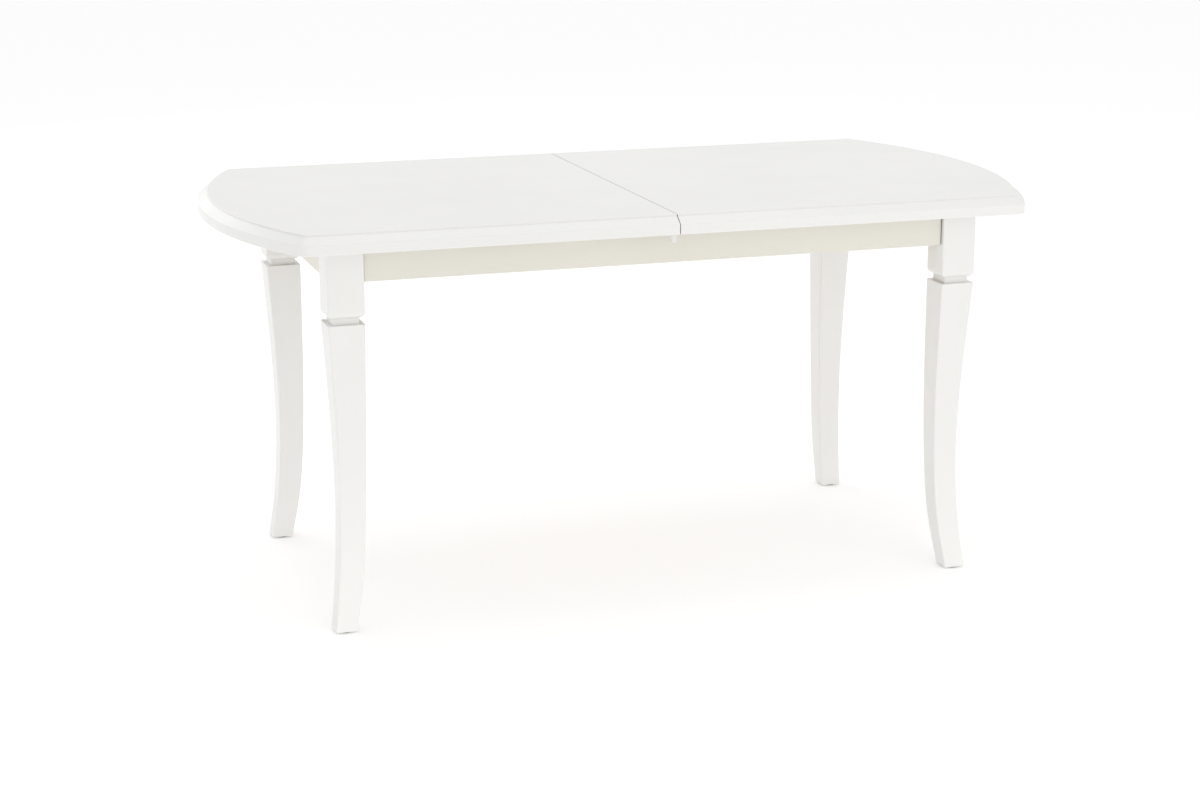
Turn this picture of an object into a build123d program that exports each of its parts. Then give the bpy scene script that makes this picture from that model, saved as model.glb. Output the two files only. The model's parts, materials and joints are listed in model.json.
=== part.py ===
"""Extendable dining table: fixed leg frame, two sliding top halves, one stored leaf.

Units mm, +Z up.  Origin: on the floor under the middle of the table.
+X runs along the table (left to right), +Y from the front to the back.
"""
import math
import os

from build123d import *

os.makedirs("parts", exist_ok=True)

# ---- overall table -------------------------------------------------------------------
TABLE_LENGTH = 1600.0
TABLE_WIDTH = 820.0
TABLE_HEIGHT = 760.0

# ---- table top -----------------------------------------------------------------------
EDGE_FACE_HEIGHT = 19.0      # vertical face of the edge
RIM_WIDTH = 18.0             # sloping band round the field
RIM_RISE = 13.0
FIELD_STEP = 3.0             # field stands proud of the band
TOP_THICKNESS = EDGE_FACE_HEIGHT + RIM_RISE + FIELD_STEP
TOP_UNDERSIDE = TABLE_HEIGHT - TOP_THICKNESS
END_BOW = 104.0              # how far each end bows out past its corners
TOP_CORNER_RADIUS = 28.0
RIM_ROUND_OVER = 1.5
FIELD_EDGE_ROUND = 1.0
UNDERSIDE_EASE = 1.5
SEAM_GAP = 1.5

# ---- legs ----------------------------------------------------------------------------
LEG_SIZE = 68.0
LEG_OUTER_X = 637.0
LEG_OUTER_Y = 327.0
LEG_TOP = 722.0
OVOLO_TOP, OVOLO_BOTTOM = 604.0, 592.0
COLLAR_TOP = 580.0
NECK_INSET = 9.0
LEG_EDGE_EASE = 2.5
FOOT_BOTTOM = 3.0
# sabre curve of the two outer sides: (inset from the block face, height), foot to collar
OUTER_CURVE = [(-2, FOOT_BOTTOM), (9, 90), (16, 240), (11, 410), (0, COLLAR_TOP)]
# curve of the two inner sides: (distance from the outer block face, height), foot to straight part
INNER_CURVE = [(40, FOOT_BOTTOM), (54, 90), (64, 220), (LEG_SIZE, 470)]
GLIDE_RADIUS = 16.0          # glide disc under each foot
GLIDE_PIN_RADIUS, GLIDE_PIN_LENGTH = 2.0, 16.0
PAD_RADIUS, PAD_THICKNESS = 12.0, 2.8     # nylon pad on top of each leg, 0.2 under the top

# ---- apron frame ---------------------------------------------------------------------
APRON_THICKNESS = 20.0
APRON_RECESS = 9.0           # behind the leg faces
APRON_BOTTOM = 656.0
APRON_TOP = 722.0
APRON_LEG_GAP = 2.0
APRON_EASE = 1.5
APRON_FACE_X = LEG_OUTER_X - APRON_RECESS
APRON_FACE_Y = LEG_OUTER_Y - APRON_RECESS
INNER_X = APRON_FACE_X - APRON_THICKNESS
INNER_Y = APRON_FACE_Y - APRON_THICKNESS
LEG_INNER_X = LEG_OUTER_X - LEG_SIZE
LEG_INNER_Y = LEG_OUTER_Y - LEG_SIZE

# ---- diagonal corner blocks and leg bolts --------------------------------------------
LEG_FLAT_SUM = 840.0         # x + y on the flat planed on each leg's inner corner
BLOCK_INNER_SUM = 806.0      # x + y on the inner face of the corner block
BLOCK_BOTTOM, BLOCK_TOP = 667.0, 719.0
BOLT_HEIGHTS = (680.0, 706.0)
BOLT_RADIUS = 4.0
BOLT_IN_LEG, BOLT_PAST_BLOCK = 42.0, 12.0
WASHER_RADIUS, WASHER_THICKNESS = 9.0, 1.6
NUT_ACROSS_FLATS, NUT_THICKNESS = 13.0, 6.5
BLOCK_SCREW_COVER = 14.0     # wood left between screw head and apron

# ---- cross rails ---------------------------------------------------------------------
RAIL_POSITIONS = (-360.0, 0.0, 360.0)
RAIL_WIDTH = 60.0
RAIL_BOTTOM, RAIL_TOP = 664.0, 684.0
FELT_THICKNESS, FELT_WIDTH, FELT_LENGTH = 3.0, 44.0, 370.0
ANGLE_LEG, ANGLE_WIDTH, ANGLE_THICKNESS = 28.0, 44.0, 2.0
ANGLE_SCREW_SPACING, ANGLE_SCREW_REACH = 26.0, 17.0

# ---- slides --------------------------------------------------------------------------
TRAVEL = 412.0               # each half; the open gap clears the 820 mm leaf
GUIDE_CENTRE_Y = 243.3
GUIDE_WIDTH = 18.0
GUIDE_TOP = 721.0
GUIDE_HALF_LENGTH = 538.0
GROOVE_DEPTH, GROOVE_BOTTOM, GROOVE_TOP = 5.5, 699.0, 711.0
SLIDE_CLEARANCE = 0.3
RUNNER_WIDTH = 20.0
RUNNER_BOTTOM = 690.0
RUNNER_REACH = 528.0         # furthest a runner end goes from the middle
RUNNER_RELIEF = 1.0          # runner top drops this much where it crosses the other half
STOP_LENGTH = 9.0

# ---- screws: head radius, shank radius, length ---------------------------------------
SMALL_SCREW = (3.4, 1.75, 14.0)
BLOCK_SCREW = (4.2, 2.25, 26.0)
RUNNER_SCREW = (4.2, 2.25, 38.0)
GUIDE_SCREW = (4.2, 2.25, 34.0)
RECESS_WIDTH, RECESS_DEPTH = 0.9, 1.4

# ---- seam dowels and leaf ------------------------------------------------------------
DOWEL_RADIUS, DOWEL_BORE_RADIUS = 4.0, 4.1
DOWEL_IN, DOWEL_OUT = 24.0, 12.0
DOWEL_HEIGHT = 17.0          # above the underside
DOWEL_POSITIONS = (-300.0, 0.0, 300.0)
LEAF_WIDTH = 400.0
LEAF_UNDERSIDE = RAIL_TOP + FELT_THICKNESS

# ---- seam latch (one near the front edge, one near the back) -------------------------
LATCH_PIVOT = (-8.0, -392.0)
LATCH_REACH = 44.0           # pivot to keeper stud
LEVER_REST_ANGLE, LEVER_HOOKED_ANGLE = 125.0, 45.0
LEVER_BOTTOM, LEVER_TOP, LEVER_WIDTH, LEVER_LENGTH, LEVER_CORNER = 719.5, 723.5, 16.0, 54.0, 4.0
KNOB_RADIUS, KNOB_BOTTOM, KNOB_TOP, KNOB_ROUND = 6.5, 709.0, 724.7, 2.0
PIVOT_RADIUS, PIVOT_BORE = 2.5, 2.6
PIVOT_HEAD_RADIUS, PIVOT_HEAD_BOTTOM, PIVOT_HEAD_TOP, PIVOT_END = 4.0, 710.0, 713.0, 744.0
STUD_RADIUS, STUD_SLOT_HALF = 3.0, 3.4
STUD_HEAD_RADIUS, STUD_HEAD_BOTTOM, STUD_HEAD_TOP, STUD_END = 5.0, 716.8, 718.8, 740.0
STUD_FLANGE_RADIUS, STUD_FLANGE_THICKNESS = 7.0, 1.0
KEEPER = (LATCH_PIVOT[0] + LATCH_REACH * math.cos(math.radians(LEVER_HOOKED_ANGLE)),
          LATCH_PIVOT[1] + LATCH_REACH * math.sin(math.radians(LEVER_HOOKED_ANGLE)))


def export(shape, node):
    export_step(shape, f"parts/{node}.step")


def block(x0, x1, y0, y1, z0, z1):
    """A box between two corners."""
    return Pos((x0 + x1) / 2, (y0 + y1) / 2, (z0 + z1) / 2) * Box(x1 - x0, y1 - y0, z1 - z0)


def rod(radius, start, direction, length):
    """A cylinder from a start point along a direction."""
    plane = Plane(origin=start, z_dir=direction)
    return plane * Cylinder(radius, length, align=(Align.CENTER, Align.CENTER, Align.MIN))


def flip(shape, sx, sy):
    """Mirror a right-hand, back-corner shape to the corner with signs sx, sy."""
    if sx < 0:
        shape = mirror(shape, about=Plane.YZ)
    if sy < 0:
        shape = mirror(shape, about=Plane.XZ)
    return shape


CORNERS = {"front_left": (-1, -1), "front_right": (1, -1), "back_left": (-1, 1), "back_right": (1, 1)}


# ---- screws --------------------------------------------------------------------------
def screw_body(size, start, direction):
    """Countersunk screw: flat of the head at start, point along direction."""
    head, shank, length = size
    cone_height = head - shank
    tip = 2 * shank
    plane = Plane(origin=start, z_dir=direction)
    low = (Align.CENTER, Align.CENTER, Align.MIN)
    body = Cone(head, shank, cone_height, align=low)
    body += Pos(0, 0, cone_height) * Cylinder(shank, length - cone_height - tip, align=low)
    body += Pos(0, 0, length - tip) * Cone(shank, shank / 5, tip, align=low)
    return plane * body


def screw(size, start, direction):
    """The same screw with its cross recess."""
    plane = Plane(origin=start, z_dir=direction)
    bar = Box(size[0] * 1.1, RECESS_WIDTH, 2 * RECESS_DEPTH)
    return screw_body(size, start, direction) - plane * bar - plane * (Rot(0, 0, 90) * bar)


# ---- table top -----------------------------------------------------------------------
def top_outline():
    corner_x = TABLE_LENGTH / 2 - END_BOW
    half_width = TABLE_WIDTH / 2
    with BuildSketch() as outline:
        with BuildLine():
            Line((-corner_x, -half_width), (corner_x, -half_width))
            ThreePointArc((corner_x, -half_width), (TABLE_LENGTH / 2, 0), (corner_x, half_width))
            Line((corner_x, half_width), (-corner_x, half_width))
            ThreePointArc((-corner_x, half_width), (-TABLE_LENGTH / 2, 0), (-corner_x, -half_width))
        make_face()
        fillet(outline.vertices(), TOP_CORNER_RADIUS)
    return outline.sketch.face()


def moulded_top():
    """The whole top in one piece, before the seam is cut."""
    outline = top_outline()
    field = offset(outline, -RIM_WIDTH).face()
    band_bottom = TOP_UNDERSIDE + EDGE_FACE_HEIGHT
    band_top = band_bottom + RIM_RISE
    slab = extrude(Pos(0, 0, TOP_UNDERSIDE) * outline, EDGE_FACE_HEIGHT)
    band = loft([Pos(0, 0, band_bottom) * outline, Pos(0, 0, band_top) * field], ruled=True)
    panel = extrude(Pos(0, 0, band_top) * field, FIELD_STEP)
    top = slab + band + panel
    edges = top.edges()
    top = fillet(edges.filter_by_position(Axis.Z, band_bottom, band_bottom), RIM_ROUND_OVER)
    top = fillet(top.edges().filter_by_position(Axis.Z, TABLE_HEIGHT, TABLE_HEIGHT), FIELD_EDGE_ROUND)
    return chamfer(top.edges().filter_by_position(Axis.Z, TOP_UNDERSIDE, TOP_UNDERSIDE), UNDERSIDE_EASE)


def runner_screw_starts(side, y):
    """Heads of the three screws that hold one runner under its half."""
    inner, outer = 22.0, RUNNER_REACH - TRAVEL - 14.0
    spread = (inner, (inner + outer) / 2, outer)
    return [(side * x, y, RUNNER_BOTTOM) for x in spread]


def runner_y(side, row):
    """Centre of the runner: each half has one outer track and one inner track."""
    beside_guide = (GUIDE_WIDTH + RUNNER_WIDTH) / 2 + SLIDE_CLEARANCE
    outer_track = (side < 0) == (row < 0)
    return row * (GUIDE_CENTRE_Y + (beside_guide if outer_track else -beside_guide))


def cut_seam_half(top, side):
    half = top & block(*sorted((side * SEAM_GAP / 2, side * TABLE_LENGTH)), -TABLE_WIDTH, TABLE_WIDTH,
                       0, 2 * TABLE_HEIGHT)
    hole_radius, depth = (DOWEL_RADIUS, DOWEL_IN) if side < 0 else (DOWEL_BORE_RADIUS, DOWEL_OUT + 2)
    for y in DOWEL_POSITIONS:
        half -= rod(hole_radius, (0, y, TOP_UNDERSIDE + DOWEL_HEIGHT), (side, 0, 0), depth)
    for row in (-1, 1):
        for start in runner_screw_starts(side, runner_y(side, row)):
            half -= screw_body(RUNNER_SCREW, start, (0, 0, 1))
        pin = (LATCH_PIVOT, PIVOT_RADIUS, PIVOT_END) if side < 0 else (KEEPER, STUD_RADIUS, STUD_END)
        (x, y), radius, end = pin
        half -= rod(radius, (x, -row * y, TOP_UNDERSIDE), (0, 0, 1), end - TOP_UNDERSIDE)
    return half


whole_top = moulded_top()
export(cut_seam_half(whole_top, -1), "top_left")
export(cut_seam_half(whole_top, 1), "top_right")

DOWEL_LENGTH = DOWEL_IN + DOWEL_OUT
seam_dowels = [rod(DOWEL_RADIUS, (-DOWEL_IN, y, TOP_UNDERSIDE + DOWEL_HEIGHT), (1, 0, 0), DOWEL_LENGTH)
               for y in DOWEL_POSITIONS]
seam_dowels = [chamfer(dowel.edges().filter_by(GeomType.CIRCLE), 1) for dowel in seam_dowels]
export(Compound(seam_dowels), "seam_dowels")


# ---- runners under the halves --------------------------------------------------------
def runner(side, row):
    """Beech strip with a tongue; fixed at the seam end of its half, reaching under the other."""
    y = runner_y(side, row)
    fixed_end, free_end = side * (RUNNER_REACH - TRAVEL), -side * RUNNER_REACH
    x0, x1 = sorted((fixed_end, free_end))
    strip = block(x0, x1, y - RUNNER_WIDTH / 2, y + RUNNER_WIDTH / 2, RUNNER_BOTTOM, TOP_UNDERSIDE)
    strip = chamfer(strip.edges().filter_by(Axis.X).group_by(Axis.Z)[0], 1.5)
    relief = sorted((0, free_end))
    strip -= block(*relief, y - RUNNER_WIDTH, y + RUNNER_WIDTH, TOP_UNDERSIDE - RUNNER_RELIEF, TABLE_HEIGHT)
    guide_side = math.copysign(1, row * GUIDE_CENTRE_Y - y)
    tongue = sorted(y + guide_side * (RUNNER_WIDTH / 2 + depth) for depth in (-1, GROOVE_DEPTH))
    strip += block(x0, x1, *tongue, GROOVE_BOTTOM + SLIDE_CLEARANCE, GROOVE_TOP - SLIDE_CLEARANCE)
    for start in runner_screw_starts(side, y):
        strip -= screw_body(RUNNER_SCREW, start, (0, 0, 1))
    return strip


for side, half_name in ((-1, "left"), (1, "right")):
    screws = []
    for row, row_name in ((-1, "front"), (1, "back")):
        export(runner(side, row), f"runner_{half_name}_{row_name}")
        screws += [screw(RUNNER_SCREW, start, (0, 0, 1))
                   for start in runner_screw_starts(side, runner_y(side, row))]
    export(Compound(screws), f"runner_screws_{half_name}")


# ---- fixed guides, grooved on both sides ---------------------------------------------
def guide_screw_starts(row):
    return [(x + dx, row * GUIDE_CENTRE_Y, RAIL_BOTTOM) for x in RAIL_POSITIONS for dx in (-18.0, 18.0)]


def guide(row):
    y = row * GUIDE_CENTRE_Y
    half = GUIDE_WIDTH / 2
    bar = block(-GUIDE_HALF_LENGTH, GUIDE_HALF_LENGTH, y - half, y + half, RAIL_TOP, GUIDE_TOP)
    bar = chamfer(bar.edges().filter_by(Axis.X).group_by(Axis.Z)[-1], 1)
    for face in (-1, 1):
        outer = y + face * half
        bar -= block(-TABLE_LENGTH, TABLE_LENGTH, outer - GROOVE_DEPTH, outer + GROOVE_DEPTH,
                     GROOVE_BOTTOM, GROOVE_TOP)
    for start in guide_screw_starts(row):
        bar -= screw_body(GUIDE_SCREW, start, (0, 0, 1))
    return bar


def stop_block(side, row):
    """Plug in the end of the groove that one runner's tongue runs up against."""
    guide_y = row * GUIDE_CENTRE_Y
    face = math.copysign(1, runner_y(side, row) - guide_y)
    y0, y1 = sorted((guide_y + face * (GUIDE_WIDTH / 2 - GROOVE_DEPTH), guide_y + face * GUIDE_WIDTH / 2))
    x0, x1 = sorted((side * (GUIDE_HALF_LENGTH - STOP_LENGTH), side * GUIDE_HALF_LENGTH))
    return block(x0, x1, y0, y1, GROOVE_BOTTOM, GROOVE_TOP)


export(guide(-1), "guide_front")
export(guide(1), "guide_back")
export(Compound([stop_block(side, row) for side in (-1, 1) for row in (-1, 1)]), "slide_stops")
guide_screws = [screw(GUIDE_SCREW, start, (0, 0, 1)) for row in (-1, 1) for start in guide_screw_starts(row)]
export(Compound(guide_screws), "guide_screws")


# ---- cross rails, felts and angle brackets -------------------------------------------
def angle_corners():
    """Inside corner of every angle bracket: on a rail, against a long apron."""
    return [(x, row) for x in RAIL_POSITIONS for row in (-1, 1)]


def angle_bracket(x, row):
    half = ANGLE_WIDTH / 2
    floor = block(x - half, x + half, INNER_Y - ANGLE_LEG, INNER_Y, RAIL_TOP, RAIL_TOP + ANGLE_THICKNESS)
    wall = block(x - half, x + half, INNER_Y - ANGLE_THICKNESS, INNER_Y, RAIL_TOP, RAIL_TOP + ANGLE_LEG)
    angle = floor + wall
    angle = fillet(angle.edges().filter_by(Axis.X).group_by(Axis.Z)[1].sort_by(Axis.Y)[0:1], 1.5)
    for size, start, direction in angle_screws(x, 1):
        angle -= screw_body(size, start, direction)
    return flip(angle, 1, row)


def angle_screws(x, row):
    """Two screws down into the rail and two out into the apron."""
    reach = INNER_Y - ANGLE_SCREW_REACH
    found = []
    for dx in (-ANGLE_SCREW_SPACING / 2, ANGLE_SCREW_SPACING / 2):
        found.append((SMALL_SCREW, (x + dx, row * reach, RAIL_TOP + ANGLE_THICKNESS), (0, 0, -1)))
        found.append((SMALL_SCREW, (x + dx, row * (INNER_Y - ANGLE_THICKNESS), RAIL_TOP + ANGLE_SCREW_REACH),
                      (0, row, 0)))
    return found


def cross_rail(x):
    half = RAIL_WIDTH / 2
    rail = block(x - half, x + half, -INNER_Y, INNER_Y, RAIL_BOTTOM, RAIL_TOP)
    rail = chamfer(rail.edges().filter_by(Axis.Y), 1.5)
    for row in (-1, 1):
        for size, start, direction in angle_screws(x, row):
            rail -= screw_body(size, start, direction)
        for start in guide_screw_starts(row):
            rail -= screw_body(GUIDE_SCREW, start, (0, 0, 1))
    return rail


for x, name in zip(RAIL_POSITIONS, ("left", "middle", "right")):
    export(cross_rail(x), f"cross_rail_{name}")
felt = block(-FELT_WIDTH / 2, FELT_WIDTH / 2, -FELT_LENGTH / 2, FELT_LENGTH / 2, RAIL_TOP, LEAF_UNDERSIDE)
export(Compound([Pos(x, 0, 0) * felt for x in RAIL_POSITIONS]), "leaf_felts")
export(Compound([angle_bracket(x, row) for x, row in angle_corners()]), "angle_brackets")
bracket_screws = [screw(*item) for x, row in angle_corners() for item in angle_screws(x, row)]
export(Compound(bracket_screws), "bracket_screws")


# ---- corner blocks -------------------------------------------------------------------
def block_screws():
    """Screws of the back right corner block: two into each apron."""
    found = []
    edge = 17.0
    head_y, head_x = INNER_Y - BLOCK_SCREW_COVER, INNER_X - BLOCK_SCREW_COVER
    for z in (BLOCK_BOTTOM + 13.0, BLOCK_TOP - 13.0):
        found.append((BLOCK_SCREW, (BLOCK_INNER_SUM - INNER_Y + edge, head_y, z), (0, 1, 0)))
        found.append((BLOCK_SCREW, (head_x, BLOCK_INNER_SUM - INNER_X + edge, z), (1, 0, 0)))
    return found


DIAGONAL = (1 / math.sqrt(2), 1 / math.sqrt(2), 0)
LEG_MIDDLE = (LEG_OUTER_X - LEG_SIZE / 2, LEG_OUTER_Y - LEG_SIZE / 2)


def on_diagonal(coordinate_sum, z):
    """Point on the leg's diagonal where x + y has the given value."""
    shift = (coordinate_sum - sum(LEG_MIDDLE)) / 2
    return (LEG_MIDDLE[0] + shift, LEG_MIDDLE[1] + shift, z)


def inward(coordinate_sum, distance):
    """x + y a given distance nearer the middle of the table, along the diagonal."""
    return coordinate_sum - distance * math.sqrt(2)


def corner_block():
    with BuildSketch() as plan:
        Polygon((BLOCK_INNER_SUM - INNER_Y, INNER_Y), (LEG_FLAT_SUM - INNER_Y, INNER_Y),
                (INNER_X, LEG_FLAT_SUM - INNER_X), (INNER_X, BLOCK_INNER_SUM - INNER_X), align=None)
    solid = extrude(Pos(0, 0, BLOCK_BOTTOM) * plan.sketch, BLOCK_TOP - BLOCK_BOTTOM)
    for z in BOLT_HEIGHTS:
        solid -= rod(BOLT_RADIUS, on_diagonal(BLOCK_INNER_SUM - 10, z), DIAGONAL, 60)
    for size, start, direction in block_screws():
        solid -= screw_body(size, start, direction)
        back = tuple(-d for d in direction)
        solid -= rod(size[0], start, back, 40)
    return solid


def hanger_bolt(z):
    length = BOLT_IN_LEG + (LEG_FLAT_SUM - BLOCK_INNER_SUM) / math.sqrt(2) + BOLT_PAST_BLOCK
    start = on_diagonal(inward(BLOCK_INNER_SUM, BOLT_PAST_BLOCK), z)
    bolt = rod(BOLT_RADIUS, start, DIAGONAL, length)
    return chamfer(bolt.edges().filter_by(GeomType.CIRCLE), 1)


def washer(z):
    start = on_diagonal(inward(BLOCK_INNER_SUM, WASHER_THICKNESS), z)
    return (rod(WASHER_RADIUS, start, DIAGONAL, WASHER_THICKNESS)
            - rod(BOLT_RADIUS, start, DIAGONAL, WASHER_THICKNESS))


def nut(z):
    start = on_diagonal(inward(BLOCK_INNER_SUM, WASHER_THICKNESS + NUT_THICKNESS), z)
    plane = Plane(origin=start, z_dir=DIAGONAL)
    hexagon = RegularPolygon(NUT_ACROSS_FLATS / 2, 6, major_radius=False)
    return extrude(plane * hexagon, NUT_THICKNESS) - rod(BOLT_RADIUS, start, DIAGONAL, NUT_THICKNESS)


def at_corners(shapes):
    """Copies of back right corner shapes at all four corners."""
    return Compound([flip(shape, sx, sy) for sx, sy in CORNERS.values() for shape in shapes])


export(at_corners([corner_block()]), "corner_blocks")
export(at_corners([hanger_bolt(z) for z in BOLT_HEIGHTS]), "hanger_bolts")
export(at_corners([washer(z) for z in BOLT_HEIGHTS]), "bolt_washers")
export(at_corners([nut(z) for z in BOLT_HEIGHTS]), "bolt_nuts")
export(at_corners([screw(*item) for item in block_screws()]), "block_screws")


# ---- aprons --------------------------------------------------------------------------
def long_apron(row):
    end = LEG_INNER_X - APRON_LEG_GAP
    board = block(-end, end, INNER_Y, APRON_FACE_Y, APRON_BOTTOM, APRON_TOP)
    board = fillet(board.edges().filter_by(Axis.X), APRON_EASE)
    for x in RAIL_POSITIONS:
        for size, start, direction in angle_screws(x, 1):
            board -= screw_body(size, start, direction)
    for side in (-1, 1):
        for size, start, direction in block_screws():
            board -= flip(screw_body(size, start, direction), side, 1)
    return flip(board, 1, row)


def end_apron(side):
    end = LEG_INNER_Y - APRON_LEG_GAP
    board = block(INNER_X, APRON_FACE_X, -end, end, APRON_BOTTOM, APRON_TOP)
    board = fillet(board.edges().filter_by(Axis.Y), APRON_EASE)
    for row in (-1, 1):
        for size, start, direction in block_screws():
            board -= flip(screw_body(size, start, direction), 1, row)
    return flip(board, side, 1)


export(long_apron(-1), "apron_front")
export(long_apron(1), "apron_back")
export(end_apron(-1), "apron_left")
export(end_apron(1), "apron_right")


# ---- legs ----------------------------------------------------------------------------
def leg_profile(plane):
    """Side view of the leg: first axis is the distance in from the outer face."""
    neck, back = NECK_INSET, LEG_SIZE - NECK_INSET
    belly = math.sqrt(0.5)
    ovolo_z = OVOLO_TOP - (OVOLO_TOP - OVOLO_BOTTOM) * belly
    ovolo_in = NECK_INSET * (1 - belly)
    with BuildSketch(plane) as view:
        with BuildLine():
            Spline(*OUTER_CURVE)
            Polyline((0, COLLAR_TOP), (neck, COLLAR_TOP), (neck, OVOLO_BOTTOM))
            ThreePointArc((neck, OVOLO_BOTTOM), (ovolo_in, ovolo_z), (0, OVOLO_TOP))
            Polyline((0, OVOLO_TOP), (0, LEG_TOP), (LEG_SIZE, LEG_TOP), (LEG_SIZE, OVOLO_TOP))
            ThreePointArc((LEG_SIZE, OVOLO_TOP), (LEG_SIZE - ovolo_in, ovolo_z), (back, OVOLO_BOTTOM))
            Polyline((back, OVOLO_BOTTOM), (back, COLLAR_TOP), (LEG_SIZE, COLLAR_TOP), INNER_CURVE[-1])
            Spline(*reversed(INNER_CURVE), tangents=[(0, -1), (INNER_CURVE[0][0] - INNER_CURVE[1][0],
                                                              INNER_CURVE[0][1] - INNER_CURVE[1][1])])
            Line(INNER_CURVE[0], OUTER_CURVE[0])
        make_face()
    return view.sketch


def back_right_leg():
    margin = 10.0
    depth = LEG_SIZE + 2 * margin
    side_view = extrude(Pos(0, LEG_SIZE + margin, 0) * leg_profile(Plane.XZ), depth)
    end_view = extrude(Pos(-margin, 0, 0) * leg_profile(Plane.YZ), depth)
    leg = side_view & end_view
    leg = fillet(leg.edges().filter_by(lambda edge: edge.bounding_box().size.Z > margin), LEG_EDGE_EASE)
    leg = Pos(LEG_OUTER_X, LEG_OUTER_Y, 0) * (Rot(0, 0, 180) * leg)
    planed = Plane(origin=on_diagonal(LEG_FLAT_SUM, LEG_TOP), z_dir=DIAGONAL)
    waste = planed * Pos(0, 0, -LEG_SIZE) * Box(4 * LEG_SIZE, 4 * LEG_SIZE, 2 * LEG_SIZE)
    leg -= waste & block(0, LEG_OUTER_X, 0, LEG_OUTER_Y, APRON_BOTTOM, LEG_TOP)
    for z in BOLT_HEIGHTS:
        leg -= rod(BOLT_RADIUS, on_diagonal(LEG_FLAT_SUM, z), DIAGONAL, BOLT_IN_LEG)
    foot = foot_middle()
    leg -= rod(GLIDE_PIN_RADIUS, (*foot, 0), (0, 0, 1), FOOT_BOTTOM + GLIDE_PIN_LENGTH)
    return leg


def foot_middle():
    inset = (OUTER_CURVE[0][0] + INNER_CURVE[0][0]) / 2
    return (LEG_OUTER_X - inset, LEG_OUTER_Y - inset)


def foot_glide():
    foot = foot_middle()
    disc = rod(GLIDE_RADIUS, (*foot, 0), (0, 0, 1), FOOT_BOTTOM)
    disc = fillet(disc.edges().group_by(Axis.Z)[0], 1)
    return disc + rod(GLIDE_PIN_RADIUS, (*foot, FOOT_BOTTOM), (0, 0, 1), GLIDE_PIN_LENGTH)


leg = back_right_leg()
for name, (sx, sy) in CORNERS.items():
    export(flip(leg, sx, sy), f"leg_{name}")
export(at_corners([foot_glide()]), "foot_glides")
pad = rod(PAD_RADIUS, (*LEG_MIDDLE, LEG_TOP), (0, 0, 1), PAD_THICKNESS)
export(at_corners([fillet(pad.edges().group_by(Axis.Z)[-1], 1)]), "leg_top_pads")


# ---- stored extension leaf -----------------------------------------------------------
def extension_leaf():
    """Lies lengthwise in the frame; its moulded ends face left and right."""
    half_length, half_width = TABLE_WIDTH / 2, (LEAF_WIDTH - SEAM_GAP) / 2
    edge_z = LEAF_UNDERSIDE + EDGE_FACE_HEIGHT
    band_z, top_z = edge_z + RIM_RISE, edge_z + RIM_RISE + FIELD_STEP
    field = half_length - RIM_WIDTH
    with BuildSketch(Plane.XZ) as section:
        Polygon((-half_length, LEAF_UNDERSIDE), (half_length, LEAF_UNDERSIDE), (half_length, edge_z),
                (field, band_z), (field, top_z), (-field, top_z), (-field, band_z), (-half_length, edge_z),
                align=None)
    board = extrude(section.sketch, half_width, both=True)
    long_edges = board.edges().filter_by(Axis.Y)
    board = fillet(long_edges.filter_by_position(Axis.Z, edge_z, edge_z), RIM_ROUND_OVER)
    board = fillet(board.edges().filter_by(Axis.Y).group_by(Axis.Z)[-1], FIELD_EDGE_ROUND)
    board = chamfer(board.edges().filter_by(Axis.Y).group_by(Axis.Z)[0], UNDERSIDE_EASE)
    for x in DOWEL_POSITIONS:
        z = LEAF_UNDERSIDE + DOWEL_HEIGHT
        board -= rod(DOWEL_RADIUS, (x, -half_width, z), (0, 1, 0), DOWEL_IN)
        board -= rod(DOWEL_BORE_RADIUS, (x, half_width, z), (0, -1, 0), DOWEL_OUT + 2)
    return board


def leaf_dowel(x):
    start = (x, -(LEAF_WIDTH - SEAM_GAP) / 2 - DOWEL_OUT, LEAF_UNDERSIDE + DOWEL_HEIGHT)
    dowel = rod(DOWEL_RADIUS, start, (0, 1, 0), DOWEL_LENGTH)
    return chamfer(dowel.edges().filter_by(GeomType.CIRCLE), 1)


export(extension_leaf(), "extension_leaf")
export(Compound([leaf_dowel(x) for x in DOWEL_POSITIONS]), "leaf_dowels")


# ---- seam latches --------------------------------------------------------------------
def front_latch():
    """Knob and hooked lever in one piece, unhooked: the lever points to the back and left."""
    half = LEVER_WIDTH / 2
    upright = (0, 0, 1)
    lever = block(0, LEVER_LENGTH, -half, half, LEVER_BOTTOM, LEVER_TOP)
    lever = fillet(lever.edges().filter_by(Axis.Z).group_by(Axis.X)[-1], LEVER_CORNER)
    knob = rod(KNOB_RADIUS, (0, 0, KNOB_BOTTOM), upright, KNOB_TOP - KNOB_BOTTOM)
    lever += fillet(knob.edges().group_by(Axis.Z)[0], KNOB_ROUND)
    lever += rod(half, (0, 0, LEVER_BOTTOM), upright, LEVER_TOP - LEVER_BOTTOM)
    ring = (rod(LATCH_REACH + STUD_SLOT_HALF, (0, 0, 0), upright, TABLE_HEIGHT)
            - rod(LATCH_REACH - STUD_SLOT_HALF, (0, 0, 0), upright, TABLE_HEIGHT))
    lever -= ring & block(0, TABLE_WIDTH, -TABLE_WIDTH, 0, 0, TABLE_HEIGHT)
    lever -= rod(STUD_SLOT_HALF, (LATCH_REACH, 0, 0), upright, TABLE_HEIGHT)
    lever -= rod(PIVOT_BORE, (0, 0, 0), upright, TABLE_HEIGHT)
    lever -= rod(PIVOT_HEAD_RADIUS + SLIDE_CLEARANCE, (0, 0, 0), upright, PIVOT_HEAD_TOP + SLIDE_CLEARANCE)
    return Pos(*LATCH_PIVOT, 0) * (Rot(0, 0, LEVER_REST_ANGLE) * lever)


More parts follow.
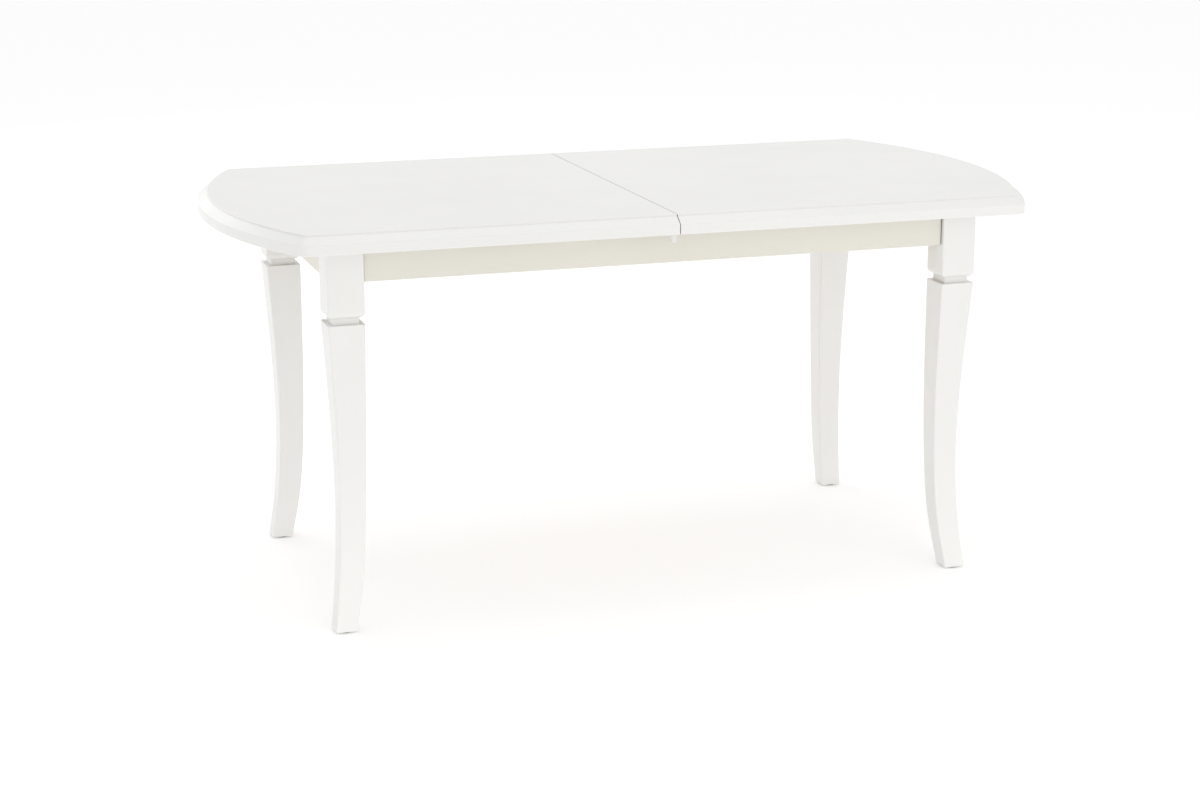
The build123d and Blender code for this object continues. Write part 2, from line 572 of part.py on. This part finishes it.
def pivot_screw():
    head_height, shank_length = PIVOT_HEAD_TOP - PIVOT_HEAD_BOTTOM, PIVOT_END - PIVOT_HEAD_TOP
    head = rod(PIVOT_HEAD_RADIUS, (*LATCH_PIVOT, PIVOT_HEAD_BOTTOM), (0, 0, 1), head_height)
    slot = Pos(*LATCH_PIVOT, PIVOT_HEAD_BOTTOM) * Box(3 * PIVOT_HEAD_RADIUS, RECESS_WIDTH, 2 * RECESS_DEPTH)
    return head - slot + rod(PIVOT_RADIUS, (*LATCH_PIVOT, PIVOT_HEAD_TOP), (0, 0, 1), shank_length)


def keeper_stud():
    head = rod(STUD_HEAD_RADIUS, (*KEEPER, STUD_HEAD_BOTTOM), (0, 0, 1), STUD_HEAD_TOP - STUD_HEAD_BOTTOM)
    head = fillet(head.edges().group_by(Axis.Z)[0], 1)
    flange_z = TOP_UNDERSIDE - STUD_FLANGE_THICKNESS
    flange = rod(STUD_FLANGE_RADIUS, (*KEEPER, flange_z), (0, 0, 1), STUD_FLANGE_THICKNESS)
    return head + flange + rod(STUD_RADIUS, (*KEEPER, STUD_HEAD_TOP), (0, 0, 1), STUD_END - STUD_HEAD_TOP)


latch = front_latch()
export(latch, "latch_front")
export(flip(latch, 1, -1), "latch_back")
export(Compound([flip(pivot_screw(), 1, row) for row in (1, -1)]), "latch_pivot_screws")
export(Compound([flip(keeper_stud(), 1, row) for row in (1, -1)]), "latch_keepers")
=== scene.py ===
"""Looks for the extendable dining table: lacquer, beech, pine, zinc, plastic, felt, studio."""
import json
import math

import bpy
from mathutils import Euler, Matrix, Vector

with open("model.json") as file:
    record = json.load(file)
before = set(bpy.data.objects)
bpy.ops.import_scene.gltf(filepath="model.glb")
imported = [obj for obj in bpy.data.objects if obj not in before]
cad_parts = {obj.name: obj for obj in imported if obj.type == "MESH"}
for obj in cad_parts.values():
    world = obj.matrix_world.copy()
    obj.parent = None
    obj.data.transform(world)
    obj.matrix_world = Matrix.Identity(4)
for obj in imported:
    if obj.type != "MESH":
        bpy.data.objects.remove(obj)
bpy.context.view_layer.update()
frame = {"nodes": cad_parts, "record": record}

# ---- camera: the photograph's viewing angle, metres and radians -----------------------
CAMERA_PLACE = (-1.502, -4.509, 1.529)
CAMERA_YAW = 0.3177          # turned from +Y towards +X
CAMERA_PITCH = -0.2501       # below the horizon
CAMERA_LENS, CAMERA_SENSOR = 73.1, 36.0      # millimetres
CAMERA_FAR = 100.0

# ---- colours (linear) ----------------------------------------------------------------
WHITE_LACQUER = (0.82, 0.815, 0.795)
CREAM_LACQUER = (0.75, 0.725, 0.65)
LACQUER_DRIFT = 0.965        # the darkest patches, as a share of the colour
# painted shade: the colour that narrow grooves and corners are darkened towards
GROOVE_SHADE = (0.55, 0.53, 0.49)
# painted shadow: near black for the narrowest cracks, such as the seam between the halves
CRACK_SHADOW = (0.03, 0.028, 0.025)
BEECH_LIGHT, BEECH_DARK = (0.62, 0.40, 0.22), (0.44, 0.25, 0.12)
PINE_LIGHT, PINE_DARK = (0.72, 0.52, 0.28), (0.52, 0.31, 0.13)
ZINC, ZINC_DULL = (0.60, 0.61, 0.63), (0.46, 0.46, 0.45)
WHITE_PLASTIC = (0.78, 0.78, 0.76)
PLASTIC_DRIFT = 0.93
NYLON = (0.62, 0.60, 0.54)
GLIDE_PLASTIC = (0.035, 0.033, 0.03)
FELT_LIGHT, FELT_DARK = (0.12, 0.12, 0.125), (0.045, 0.045, 0.05)
PORE_SHADE = 0.6             # pores in wood, as a share of the dark grain

# ---- how values are spread: from low to high, onto low to high -----------------------
NOISE_CORE = (0.3, 0.7)      # nearly all of a noise lies in here
FULL = (0.0, 1.0)
CREVICE_REACH = 0.003        # metres; wider corners get no painted shade
GROOVE_SHADE_SPREAD = (0.35, 0.85, 0.45, 0.0)      # openness onto share of painted groove shade
CRACK_SPREAD = (0.12, 0.40, 1.0, 0.0)      # openness onto share of painted crack shadow
GRAIN_CORE = (0.38, 0.66)
PORE_SPREAD = (0.60, 0.72, 0.0, 0.55)
GRAIN_STRETCH = 0.06         # scale of wood noise along the grain, against 1 across it
FELT_CORE = (0.12, 0.42)

# ---- bump depths, metres -------------------------------------------------------------
SPRAY_WAVE, ORANGE_PEEL = 0.00022, 0.000035
WOOD_GRAIN, WOOD_PORE = 0.00018, 0.00010
ZINC_SCRATCH, PLASTIC_GRIT = 0.00003, 0.00002
FELT_CLUMP, FELT_FIBRE = 0.0006, 0.0004

# ---- light ---------------------------------------------------------------------------
WORLD_STRENGTH = 0.86
FLOOR_TONE = (0.92, 0.92, 0.92)
FLOOR_GLOW = 0.18            # keeps the floor white out to the picture's edges
FLOOR_HALF = 30.0
# softboxes: place, point aimed at, size, power, spread of the beam in degrees
SOFTBOXES = {
    "front_right": ((2.6, -5.2, 1.9), (0, 0, 0.5), (3.0, 3.0), 30.0, 180),
    "overhead": ((0.0, 0.5, 4.5), (0, 0, 0.5), (4.0, 3.0), 31.0, 180),
    "back_left": ((-2.6, 5.0, 2.2), (0, 0, 0.5), (4.0, 3.0), 32.0, 180),
    "low_front": ((0.0, -4.6, 0.95), (0, 0, -0.6), (4.0, 0.4), 3.0, 24),
}


# ---- node helpers --------------------------------------------------------------------
class Nodes:
    """Short calls for building one material's node tree."""

    def __init__(self, name):
        self.material = bpy.data.materials.new(name)
        self.material.use_nodes = True
        self.tree = self.material.node_tree
        self.shader = self.tree.nodes["Principled BSDF"]

    def add(self, kind, **settings):
        """A new node with the given settings."""
        node = self.tree.nodes.new(kind)
        for key, value in settings.items():
            setattr(node, key, value)
        return node

    def link(self, start, end):
        self.tree.links.new(start, end)

    def object_space(self, scale=(1, 1, 1)):
        """Object coordinates, stretched; they move with the piece."""
        place = self.add("ShaderNodeTexCoord")
        mapping = self.add("ShaderNodeMapping")
        mapping.inputs["Scale"].default_value = scale
        self.link(place.outputs["Object"], mapping.inputs["Vector"])
        return mapping.outputs["Vector"]

    def noise(self, vector, scale, detail=4.0, roughness=0.5, distortion=0.0):
        """Noise between 0 and 1, scale in cells per metre."""
        node = self.add("ShaderNodeTexNoise")
        node.inputs["Scale"].default_value = scale
        node.inputs["Detail"].default_value = detail
        node.inputs["Roughness"].default_value = roughness
        node.inputs["Distortion"].default_value = distortion
        self.link(vector, node.inputs["Vector"])
        return node.outputs["Fac"]

    def spread(self, value, low, high, to_low, to_high):
        """Map a value's range onto another, clamped."""
        node = self.add("ShaderNodeMapRange")
        ends = {"From Min": low, "From Max": high, "To Min": to_low, "To Max": to_high}
        for key, number in ends.items():
            node.inputs[key].default_value = number
        self.link(value, node.inputs["Value"])
        return node.outputs["Result"]

    def blend(self, factor, first, second):
        """Mix two colours, each a tuple or a socket."""
        node = self.add("ShaderNodeMix", data_type="RGBA")
        self.link(factor, node.inputs["Factor"])
        for socket, colour in ((node.inputs["A"], first), (node.inputs["B"], second)):
            if isinstance(colour, tuple):
                socket.default_value = (*colour, 1)
            else:
                self.link(colour, socket)
        return node.outputs["Result"]

    def openness(self, reach):
        """1 on open surfaces, falling towards 0 in corners narrower than the reach."""
        node = self.add("ShaderNodeAmbientOcclusion", samples=8)
        node.inputs["Distance"].default_value = reach
        return node.outputs["AO"]

    def multiply(self, first, second):
        """Product of two sockets."""
        node = self.add("ShaderNodeMath", operation="MULTIPLY")
        self.link(first, node.inputs[0])
        self.link(second, node.inputs[1])
        return node.outputs["Value"]

    def bump(self, *layers):
        """Chain of bumps, coarsest first: each a height socket and its depth in metres."""
        normal = None
        for height, distance in layers:
            node = self.add("ShaderNodeBump")
            node.inputs["Distance"].default_value = distance
            node.inputs["Strength"].default_value = 1.0
            self.link(height, node.inputs["Height"])
            if normal is not None:
                self.link(normal, node.inputs["Normal"])
            normal = node.outputs["Normal"]
        self.link(normal, self.shader.inputs["Normal"])

    def set(self, **values):
        """Constant values, set on the shader's own sockets."""
        for key, value in values.items():
            self.shader.inputs[key.replace("_", " ")].default_value = value

    def colour(self, socket):
        """Use a socket as the shader's base colour."""
        self.link(socket, self.shader.inputs["Base Color"])

    def roughness(self, socket):
        """Use a socket as the shader's roughness."""
        self.link(socket, self.shader.inputs["Roughness"])


# ---- materials -----------------------------------------------------------------------
def lacquer(name, colour, gloss):
    """Sprayed satin lacquer: fine orange peel, faint tone drift, painted shade in grooves and
    painted shadow in cracks.
    """
    nodes = Nodes(name)
    space = nodes.object_space()
    drift = nodes.spread(nodes.noise(space, scale=2.2, detail=2.0), *NOISE_CORE, *FULL)
    shade = tuple(channel * LACQUER_DRIFT for channel in colour)
    base = nodes.blend(drift, colour, shade)
    openness = nodes.openness(CREVICE_REACH)
    # painted shade: darken towards the groove colour where corners are narrow
    base = nodes.blend(nodes.spread(openness, *GROOVE_SHADE_SPREAD), base, GROOVE_SHADE)
    # painted shadow: near black in the narrowest cracks
    base = nodes.blend(nodes.spread(openness, *CRACK_SPREAD), base, CRACK_SHADOW)
    nodes.colour(base)
    haze = nodes.noise(space, scale=9.0, detail=5.0)
    nodes.roughness(nodes.spread(haze, *NOISE_CORE, gloss - 0.05, gloss + 0.06))
    peel = nodes.noise(space, scale=900.0, detail=1.0)
    wave = nodes.noise(space, scale=26.0, detail=2.0)
    nodes.bump((wave, SPRAY_WAVE), (peel, ORANGE_PEEL))
    nodes.set(Coat_Weight=0.15, Coat_Roughness=0.22, IOR=1.48)
    return nodes.material


def wood(name, light, dark, along, roughness):
    """Plain sawn hardwood or softwood: long grain, pores, darker late-wood lines."""
    nodes = Nodes(name)
    stretch = [1.0, 1.0, 1.0]
    stretch["XYZ".index(along)] = GRAIN_STRETCH
    space = nodes.object_space(tuple(stretch))
    rings = nodes.noise(space, scale=60.0, detail=6.0, roughness=0.62, distortion=0.6)
    pores = nodes.noise(space, scale=420.0, detail=3.0, roughness=0.6)
    base = nodes.blend(nodes.spread(rings, *GRAIN_CORE, *FULL), light, dark)
    pore_colour = tuple(channel * PORE_SHADE for channel in dark)
    nodes.colour(nodes.blend(nodes.spread(pores, *PORE_SPREAD), base, pore_colour))
    nodes.roughness(nodes.spread(rings, *NOISE_CORE, roughness - 0.08, roughness + 0.08))
    nodes.bump((rings, WOOD_GRAIN), (pores, WOOD_PORE))
    return nodes.material


def zinc_steel():
    """Bright zinc plate: cloudy spangle, fine scratches."""
    nodes = Nodes("zinc_plated_steel")
    space = nodes.object_space()
    cloud = nodes.spread(nodes.noise(space, scale=130.0, detail=3.0), *NOISE_CORE, *FULL)
    nodes.colour(nodes.blend(cloud, ZINC, ZINC_DULL))
    nodes.roughness(nodes.spread(cloud, *FULL, 0.28, 0.45))
    brushed = nodes.object_space((1.0, 9.0, 1.0))
    nodes.bump((nodes.noise(brushed, scale=700.0, detail=2.0), ZINC_SCRATCH))
    nodes.set(Metallic=1.0)
    return nodes.material


def plastic(name, colour, roughness):
    """Injection moulding: very fine spark-eroded texture."""
    nodes = Nodes(name)
    space = nodes.object_space()
    drift = nodes.spread(nodes.noise(space, scale=30.0, detail=2.0), *NOISE_CORE, *FULL)
    shade = tuple(channel * PLASTIC_DRIFT for channel in colour)
    nodes.colour(nodes.blend(drift, colour, shade))
    nodes.roughness(nodes.spread(drift, *FULL, roughness - 0.04, roughness + 0.05))
    nodes.bump((nodes.noise(space, scale=2600.0, detail=1.0), PLASTIC_GRIT))
    return nodes.material


def felt():
    """Pressed wool: matted fibres and soft sheen."""
    nodes = Nodes("pressed_wool_felt")
    space = nodes.object_space()
    fibre = nodes.noise(space, scale=1100.0, detail=6.0, roughness=0.7, distortion=2.5)
    clump = nodes.noise(space, scale=160.0, detail=4.0, roughness=0.6, distortion=1.0)
    matted = nodes.spread(nodes.multiply(fibre, clump), *FELT_CORE, *FULL)
    nodes.colour(nodes.blend(matted, FELT_DARK, FELT_LIGHT))
    nodes.bump((clump, FELT_CLUMP), (fibre, FELT_FIBRE))
    nodes.set(Roughness=0.95, Sheen_Weight=0.5, Sheen_Roughness=0.5)
    return nodes.material


WHITE = lacquer("white_satin_lacquer", WHITE_LACQUER, 0.34)
CREAM = lacquer("cream_satin_lacquer", CREAM_LACQUER, 0.40)
BEECH_X = wood("waxed_beech_along_x", BEECH_LIGHT, BEECH_DARK, "X", 0.45)
PINE_Y = wood("planed_pine_along_y", PINE_LIGHT, PINE_DARK, "Y", 0.62)
PINE_Z = wood("planed_pine_along_z", PINE_LIGHT, PINE_DARK, "Z", 0.62)
STEEL = zinc_steel()
LATCH_PLASTIC = plastic("white_moulded_plastic", WHITE_PLASTIC, 0.32)
NYLON_PLASTIC = plastic("natural_nylon", NYLON, 0.45)
DARK_PLASTIC = plastic("dark_glide_plastic", GLIDE_PLASTIC, 0.5)
FELT = felt()

MATERIAL_BY_SLOT = {
    "white_lacquer": WHITE, "cream_lacquer": CREAM, "beech": BEECH_X, "pine": PINE_Y,
    "zinc_steel": STEEL, "white_plastic": LATCH_PLASTIC, "nylon": NYLON_PLASTIC,
    "grey_felt": FELT, "glide_plastic": DARK_PLASTIC,
}


def dress_nodes():
    """Give every CAD node the material of its slot."""
    slots = {part["node"]: part["material_slot"] for part in frame["record"]["subparts"]}
    for name, node in frame["nodes"].items():
        material = PINE_Z if name == "corner_blocks" else MATERIAL_BY_SLOT[slots[name]]
        node.data.materials.clear()
        node.data.materials.append(material)


# ---- studio --------------------------------------------------------------------------
def white_floor():
    mesh = bpy.data.meshes.new("studio_floor")
    corners = [(x * FLOOR_HALF, y * FLOOR_HALF, 0) for x, y in ((-1, -1), (1, -1), (1, 1), (-1, 1))]
    mesh.from_pydata(corners, [], [(0, 1, 2, 3)])
    floor = bpy.data.objects.new("studio_floor", mesh)
    bpy.context.collection.objects.link(floor)
    nodes = Nodes("studio_floor_white")
    nodes.set(Base_Color=(*FLOOR_TONE, 1), Roughness=0.9, Emission_Color=(1, 1, 1, 1),
              Emission_Strength=FLOOR_GLOW)
    mesh.materials.append(nodes.material)


def softbox(name, place, aim, size, power, spread):
    """A rectangular area light that faces the aim."""
    lamp = bpy.data.lights.new(name, "AREA")
    lamp.shape = "RECTANGLE"
    lamp.size, lamp.size_y = size
    lamp.energy = power
    lamp.spread = math.radians(spread)
    light = bpy.data.objects.new(name, lamp)
    light.location = place
    light.rotation_euler = (Vector(aim) - Vector(place)).to_track_quat("-Z", "Y").to_euler()
    bpy.context.collection.objects.link(light)


def studio():
    white_floor()
    world = bpy.data.worlds.new("studio_white")
    world.use_nodes = True
    background = world.node_tree.nodes["Background"]
    background.inputs["Color"].default_value = (1, 1, 1, 1)
    background.inputs["Strength"].default_value = WORLD_STRENGTH
    bpy.context.scene.world = world
    for name, setting in SOFTBOXES.items():
        softbox(name, *setting)


def photo_camera():
    lens = bpy.data.cameras.new("photo_camera")
    lens.sensor_width = CAMERA_SENSOR
    lens.lens = CAMERA_LENS
    lens.clip_end = CAMERA_FAR
    camera = bpy.data.objects.new("photo_camera", lens)
    camera.location = CAMERA_PLACE
    camera.rotation_euler = Euler((math.pi / 2 + CAMERA_PITCH, 0, -CAMERA_YAW))
    bpy.context.collection.objects.link(camera)
    bpy.context.scene.camera = camera


dress_nodes()
studio()
photo_camera()
bpy.context.scene.view_settings.view_transform = "Standard"
